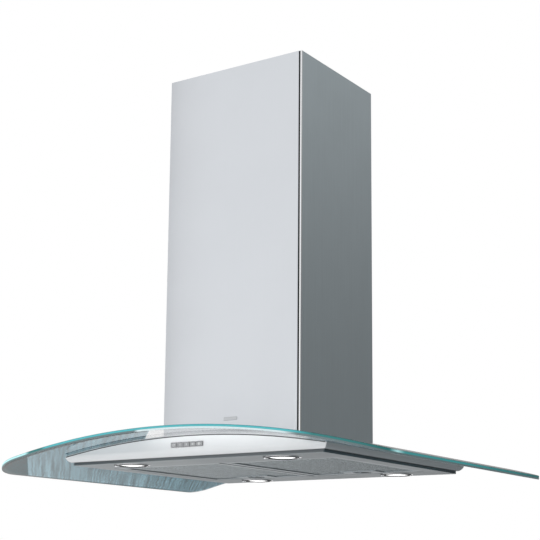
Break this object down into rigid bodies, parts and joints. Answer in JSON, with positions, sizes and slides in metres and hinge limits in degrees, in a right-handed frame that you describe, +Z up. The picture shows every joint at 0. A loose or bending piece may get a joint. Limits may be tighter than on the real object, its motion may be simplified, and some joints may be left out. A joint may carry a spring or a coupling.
{
  "type": "island range hood",
  "caption": "Ceiling-hung cooker hood: a rectangular telescopic steel chimney over an arched clear glass canopy and a slim steel body with grease filters, lamps and push buttons.",
  "frame": {"origin": "middle of the ceiling plate's upper face, at the centre of its four bolt holes; everything hangs below it", "axes": "+Z up through the ceiling, +X to the right along the front with the push buttons, +Y to the back"},
  "size_m": [0.9, 0.71, 0.8363],
  "materials": {
    "zinc": "galvanised sheet steel",
    "inner_cover": "brushed stainless steel",
    "chimney_steel": "brushed stainless steel, grain upright",
    "panel_steel": "brushed stainless steel, grain along each side",
    "tray_steel": "brushed stainless steel",
    "canopy_glass": "clear toughened float glass with a teal edge",
    "gasket_rubber": "black foam rubber",
    "screw_steel": "zinc plated steel",
    "casing_plastic": "moulded dark grey plastic",
    "wheel_plastic": "moulded black plastic",
    "motor_paint": "grey painted motor can",
    "electric_plastic": "moulded black plastic",
    "capacitor_shell": "white plastic can",
    "filter_aluminium": "satin aluminium",
    "mesh_aluminium": "expanded aluminium mesh",
    "latch_plastic": "dark grey plastic",
    "lamp_chrome": "polished chrome",
    "lamp_glass": "frosted glass",
    "cup_aluminium": "spun aluminium",
    "bulb_glass": "clear quartz capsule",
    "control_metal": "satin plated trim",
    "board_resin": "green circuit board",
    "button_plastic": "grey plastic keys"
  },
  "bodies": {
    "ceiling_frame": {"ceiling_plate": "zinc", "upper_posts": "zinc", "upper_brace": "zinc", "upper_cover_front": "inner_cover", "upper_cover_rear": "inner_cover"},
    "hood": {"base_plate": "zinc", "lower_posts": "zinc", "lower_brace": "zinc", "blower_box": "zinc", "canopy_deck": "zinc", "clamp_bars": "zinc", "motor_bracket": "zinc", "filter_rail": "zinc", "chimney_front": "chimney_steel", "chimney_wrap": "chimney_steel", "front_panel": "panel_steel", "rear_panel": "panel_steel", "left_panel": "panel_steel", "right_panel": "panel_steel", "bottom_tray": "tray_steel", "glass_canopy": "canopy_glass", "glass_gasket": "gasket_rubber", "clamp_screws": "screw_steel", "damper_axle": "screw_steel", "volute_left": "casing_plastic", "volute_right": "casing_plastic", "outlet_adapter": "casing_plastic", "outlet_collar": "casing_plastic", "motor": "motor_paint", "control_unit": "electric_plastic", "transformer": "electric_plastic", "cable_gland": "electric_plastic", "capacitor": "capacitor_shell", "lamp_bezel_front_left": "lamp_chrome", "lamp_lens_front_left": "lamp_glass", "lamp_bezel_front_right": "lamp_chrome", "lamp_lens_front_right": "lamp_glass", "lamp_bezel_rear_left": "lamp_chrome", "lamp_lens_rear_left": "lamp_glass", "lamp_bezel_rear_right": "lamp_chrome", "lamp_lens_rear_right": "lamp_glass", "lamp_cups": "cup_aluminium", "lamp_bulbs": "bulb_glass", "control_bezel": "control_metal", "switch_board": "board_resin"},
    "blower_wheel": {"impeller": "wheel_plastic", "motor_shaft": "screw_steel"},
    "flap_left": {"damper_flap_left": "casing_plastic"},
    "flap_right": {"damper_flap_right": "casing_plastic"},
    "filter_left": {"filter_frame_left": "filter_aluminium", "filter_mesh_left": "mesh_aluminium"},
    "filter_right": {"filter_frame_right": "filter_aluminium", "filter_mesh_right": "mesh_aluminium"},
    "latch_left": {"filter_latch_left": "latch_plastic"},
    "latch_right": {"filter_latch_right": "latch_plastic"},
    "key_1": {"button_1": "button_plastic"},
    "key_2": {"button_2": "button_plastic"},
    "key_3": {"button_3": "button_plastic"},
    "key_4": {"button_4": "button_plastic"},
    "key_5": {"button_5": "button_plastic"}
  },
  "joints": [
    {"name": "height_slide", "type": "slide", "parent": "ceiling_frame", "child": "hood", "axis": [0, 0, -1], "range_m": [0, 0.25]},
    {"name": "blower_spin", "type": "hinge", "parent": "hood", "child": "blower_wheel", "pos_m": [0, -0.009, -0.6746], "axis": [1, 0, 0], "continuous": true},
    {"name": "flap_left_hinge", "type": "hinge", "parent": "hood", "child": "flap_left", "pos_m": [0, 0.025, -0.5086], "axis": [0, 1, 0], "range_deg": [0, 80]},
    {"name": "flap_right_hinge", "type": "hinge", "parent": "hood", "child": "flap_right", "pos_m": [0, 0.025, -0.5086], "axis": [0, -1, 0], "range_deg": [0, 80]},
    {"name": "filter_left_hinge", "type": "hinge", "parent": "hood", "child": "filter_left", "pos_m": [0, -0.1705, -0.8182], "axis": [-1, 0, 0], "range_deg": [0, 75]},
    {"name": "latch_left_slide", "type": "slide", "parent": "filter_left", "child": "latch_left", "axis": [0, -1, 0], "range_m": [0, 0.004], "stiffness_N_per_m": 300, "springref_m": -0.002},
    {"name": "filter_right_hinge", "type": "hinge", "parent": "hood", "child": "filter_right", "pos_m": [0, -0.1705, -0.8182], "axis": [-1, 0, 0], "range_deg": [0, 75]},
    {"name": "latch_right_slide", "type": "slide", "parent": "filter_right", "child": "latch_right", "axis": [0, -1, 0], "range_m": [0, 0.004], "stiffness_N_per_m": 300, "springref_m": -0.002},
    {"name": "key_1_press", "type": "slide", "parent": "hood", "child": "key_1", "axis": [0, 1, 0], "range_m": [0, 0.0015], "stiffness_N_per_m": 400, "springref_m": -0.001},
    {"name": "key_2_press", "type": "slide", "parent": "hood", "child": "key_2", "axis": [0, 1, 0], "range_m": [0, 0.0015], "stiffness_N_per_m": 400, "springref_m": -0.001},
    {"name": "key_3_press", "type": "slide", "parent": "hood", "child": "key_3", "axis": [0, 1, 0], "range_m": [0, 0.0015], "stiffness_N_per_m": 400, "springref_m": -0.001},
    {"name": "key_4_press", "type": "slide", "parent": "hood", "child": "key_4", "axis": [0, 1, 0], "range_m": [0, 0.0015], "stiffness_N_per_m": 400, "springref_m": -0.001},
    {"name": "key_5_press", "type": "slide", "parent": "hood", "child": "key_5", "axis": [0, 1, 0], "range_m": [0, 0.0015], "stiffness_N_per_m": 400, "springref_m": -0.001}
  ]
}
